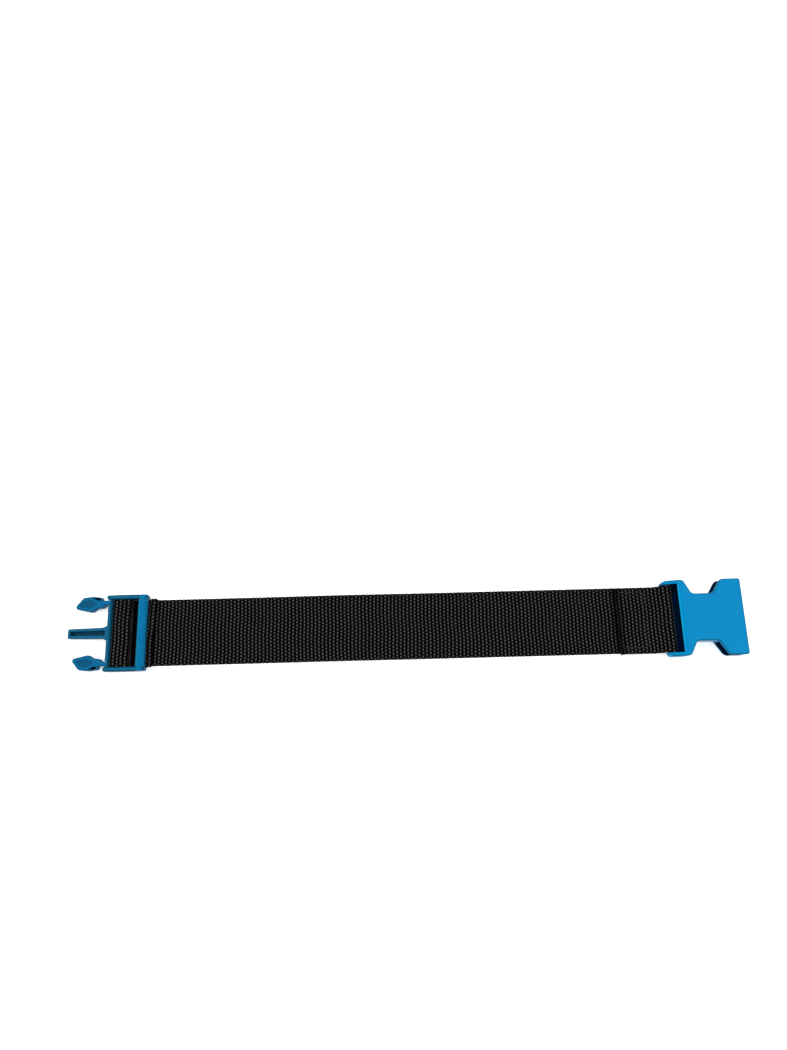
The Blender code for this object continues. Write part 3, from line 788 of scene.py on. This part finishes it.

# %% [markdown]
# ## Black webbing
# Each hump is a bundle of fine, dull black filaments. The material works out the weave's height again from the UV
# map and paints with it: a highlight on each crest, and shade that leaves the furrows between the ribs almost
# black. Stretched noise draws the filaments, and slow noise makes some yarns duller.

# %% Webbing finish
def black_webbing():
    finish = Finish("black_webbing", Specular_IOR_Level=0.0)
    weave = finish.add("ShaderNodeUVMap", {"uv_map": "weave"}, {})
    along = finish.add("ShaderNodeSeparateXYZ", {}, {0: weave})
    across = Signal(finish, along.socket.node.outputs[1])
    index = finish.sum("FLOOR", across)
    off_centre = finish.sum("ABSOLUTE", across - index - 0.5) * YARN_PITCH
    wave = finish.sum("COSINE", (along + index * 0.5) * (2 * math.pi))
    own = wave * CREST - (off_centre * (1 / CROWN_HALF_WIDTH)) ** 2 * CROWN
    beside = wave * -CREST - ((YARN_PITCH - off_centre) * (1 / CROWN_HALF_WIDTH)) ** 2 * CROWN
    crest = finish.smooth(finish.sum("MAXIMUM", own, beside), -0.02, 0.24)
    rib = finish.smooth(finish.sum("COSINE", along * (4 * math.pi)), -0.35, 0.85)
    stretched = finish.add("ShaderNodeMapping", {}, {"Vector": weave, "Scale": (2.2, 9.0, 1.0)})
    filaments = finish.noise(stretched, 1.0, 3.0)
    slow = finish.add("ShaderNodeMapping", {}, {"Vector": weave, "Scale": (0.12, 0.9, 1.0)})
    yarn_age = finish.noise(slow, 1.0, 2.0)
    melt_and_painted_shade = finish.add("ShaderNodeAttribute", {"attribute_name": "melt_and_painted_shade"}, {}, output="Fac")
    # Painted light: a highlight on the crests and shade in the furrows, times the filament and yarn tones, darker
    # where melted and where shade is painted.
    shade = rib * (0.11 + crest * 0.89) * (0.5 + filaments * 0.8) * (0.7 + yarn_age * 0.6) * (1 - melt_and_painted_shade * 0.93)
    colour = finish.tint(shade, (0.0008, 0.0008, 0.0009, 1.0), (0.060, 0.060, 0.061, 1.0))
    finish.feed(finish.shader.inputs["Base Color"], colour)
    finish.feed(finish.shader.inputs["Roughness"], 0.70 - crest * 0.12 + filaments * 0.12 - melt_and_painted_shade * 0.1)
    finish.bump(filaments, 0.08 * MM, 0.7)
    return finish.material


webbing_finish = black_webbing()
print("webbing material has", len(webbing_finish.node_tree.nodes), "nodes")

# %% [markdown]
# ## The flat run, in four stretches
# The strap can bend at four places, so its webbing is split half-way between them, and each stretch is baked
# where it lies. A table lists each bend's bodies and range; the two inner ranges start right at their hinges.
# The first stretch lies under the male half and rides on its strand.

# %% Flat stretches
STRETCH_X = (ADJUSTER_TURN_X, -154.0, -42.0, 33.6, 106.4)
SLIDE = 40.0
SPLIT_RUNS = [round((x - ADJUSTER_TURN_X) / ROW) for x in STRETCH_X]


def stretch_rows(index):
    return np.arange(SPLIT_RUNS[index], SPLIT_RUNS[index + 1] + 1) * ROW


adjuster_stretch = webbing("webbing_under_male_half", strap, stretch_rows(0), webbing_finish)
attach(adjuster_stretch, "adjuster_strand")
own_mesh(adjuster_stretch)
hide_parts("webbing_adjuster_end")

INNER_HINGES_X = (-5.0, 70.0)
BENDS = (
    ("webbing_left", 1, "adjuster_strand", "webbing_left", (-102.0, -58.0), "webbing_run_left"),
    ("webbing_middle", 2, "webbing_left", "webbing_middle", (-37.0, INNER_HINGES_X[0]), "webbing_run_middle"),
    ("webbing_right", 3, "webbing_middle", "webbing_right", (INNER_HINGES_X[1], 102.0), "webbing_run_right"),
)
for name, index, body, next_body, bend, node in BENDS:
    rows = stretch_rows(index)
    stretch = webbing(name, strap, rows, webbing_finish)
    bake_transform(stretch)
    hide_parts(node)

# %% [markdown]
# ## The sewn loop
# The last stretch goes on round the web bar and lies back on top of itself. Its cut end was melted so that it
# doesn't fray: the weave is flattened there and one corner sticks out a little. A shadow is painted on the layer
# below, right beside the end.

# %% Sewn loop
END_MELT = 4.0
END_SHADE_WIDTH = 1.2
loop_rows = np.arange(SPLIT_RUNS[4], math.floor(strap.length[-1] / ROW) + 1) * ROW
fold_back_start = strap.length[-1] - 40.0


def loop_shift(run, across):
    to_end = strap.length[-1] - run
    off_line = -0.6 * np.clip((run - fold_back_start) / 12.0, 0, 1)
    corner = -0.8 * np.clip(1 - to_end / 3.0, 0, 1) * np.clip(-across / 25.0 - 0.6, 0, 1) / 0.4
    return 0 * across, off_line + corner


def loop_melt(run):
    return np.clip(1 - (strap.length[-1] - run - END_MELT) / 1.0, 0, 1)


def loop_shaded(run):
    """A painted shadow on the layer below, right beside the fold-back's end."""
    beside_end = FOLD_BACK_END_X - ADJUSTER_TURN_X - 0.6
    return 0.85 * np.clip(1.6 - np.abs(run - beside_end) / END_SHADE_WIDTH, 0, 1)


loop = webbing("webbing_sewn_loop_visible", strap, loop_rows, webbing_finish, shift=loop_shift,
               melt=loop_melt, shaded=loop_shaded)
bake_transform(loop)
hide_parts("webbing_sewn_loop")

# %% [markdown]
# ## Over the centre bar and out as a tail
# The webbing round the centre bar travels with the male half. The tail is the odd one: as the strap gets
# shorter, webbing comes out from under the lip. Its first few millimetres, hidden under the lip, hold the
# 40 mm that come out, packed tight.

# %% Wrap and tail
FEED_START_X = -204.0
FEED_END_X = -196.0
TAIL_START_X = -206.4
TAIL_FEED = SLIDE
TAIL_SHADED_LENGTH = 5.2

level = np.abs(adjuster.points[:, 1] - UPPER_Z) < 1e-6
tail_start_run = np.interp(TAIL_START_X, adjuster.points[level, 0], adjuster.length[level])
wrap_rows = np.linspace(0, tail_start_run, round(tail_start_run / ROW) + 1)
wrap = webbing("webbing_over_centre_bar", adjuster, wrap_rows, webbing_finish)
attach(wrap, "male_half")
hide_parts("webbing_adjuster_wrap")


def fed_out(run):
    """How much longer the tail is at full slide, from its start up to this run."""
    x = TAIL_START_X + run - tail_start_run
    share = np.clip((x - FEED_START_X) / (FEED_END_X - FEED_START_X), 0, 1)
    return TAIL_FEED * share**2 * (3 - 2 * share)


fine_runs = np.linspace(tail_start_run, adjuster.length[-1], 4000)
fine_phase = fine_runs + fed_out(fine_runs)
tail_phase = np.arange(tail_start_run, fine_phase[-1], ROW)
tail_rows = np.interp(tail_phase, fine_phase, fine_runs)


def tail_shift(run, across):
    spread = np.clip((run - tail_start_run - 8.0) / 4.0, 0, 1)
    slant = spread * 1.6 * np.clip(across / 25.0, -0.2, 1)
    return slant, spread * np.where(across > 0, 0.6, -0.8) * (np.abs(across) / 25.0) ** 3


def tail_shaded(run):
    """Painted shade on the stretch between the centre bar and the lip, which lies deep in the frame."""
    return np.clip((tail_start_run + TAIL_SHADED_LENGTH - run) / 2.0, 0, 1)


tail = webbing("webbing_tail_visible", adjuster, tail_rows, webbing_finish, phase=tail_phase,
               shift=tail_shift, shaded=tail_shaded)
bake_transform(tail)
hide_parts("webbing_tail")

# %% [markdown]
# ## Stitches
# The fold-back is held by a box of stitches and the hem by one row. The thread is black as well, so the
# stitches hardly show: each is a flat grain, half sunk into the weave.

# %% Stitches
STITCH_SPACING = 3.0
STITCH_HALF_SIZE = (1.15, 0.26, 0.20)
FOLD_BACK_TOP_Z = UPPER_Z + WEBBING_THICKNESS / 2
HEM_TOP_Z = UPPER_Z + 1.8 + WEBBING_THICKNESS / 2


def black_thread():
    finish = Finish("black_thread", Specular_IOR_Level=0.15)
    place = finish.add("ShaderNodeTexCoord", {}, {}, output="Object")
    twist = finish.noise(place, 2600.0, 2.0)
    finish.feed(finish.shader.inputs["Base Color"],
                finish.tint(twist, (0.004, 0.004, 0.0042, 1.0), (0.030, 0.030, 0.031, 1.0)))
    finish.feed(finish.shader.inputs["Roughness"], 0.45 + twist * 0.2)
    finish.bump(twist, 0.05 * MM, 0.8)
    return finish.material


thread_finish = black_thread()


def stitches(name, corners, height, body, node):
    """Stitches along the straight lines between corners, given as X and Y in mm."""
    bm = bmesh.new()
    for start, end in zip(corners, corners[1:]):
        start, line = Vector(start), Vector(end) - Vector(start)
        count = round(line.length / STITCH_SPACING)
        turn = Matrix.Rotation(math.atan2(line.y, line.x), 4, "Z") @ Matrix.Diagonal((*STITCH_HALF_SIZE, 1.0))
        for index in range(count):
            place = start + line * (index + 0.5) / count
            matrix = Matrix.Translation((place.x, place.y, height)) @ turn
            bmesh.ops.create_uvsphere(bm, u_segments=8, v_segments=6, radius=1.0, matrix=matrix)
    bmesh.ops.scale(bm, verts=bm.verts, vec=(MM, MM, MM))
    piece = object_from(bm, name, thread_finish)
    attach(piece, body)
    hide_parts(node)
    print(name, len(piece.data.polygons), "faces")


BOX_CORNERS = [(163.0, -21.0), (181.5, -21.0), (181.5, 21.0), (163.0, 21.0), (163.0, -21.0)]
stitches("fold_back_stitches", BOX_CORNERS, FOLD_BACK_TOP_Z - 0.05, "sewn_end", "sewn_end_stitching")
stitches("hem_stitches", [(-192.0, -21.5), (-190.8, 21.5)], HEM_TOP_Z - 0.05, "tail", "tail_hem_stitching")
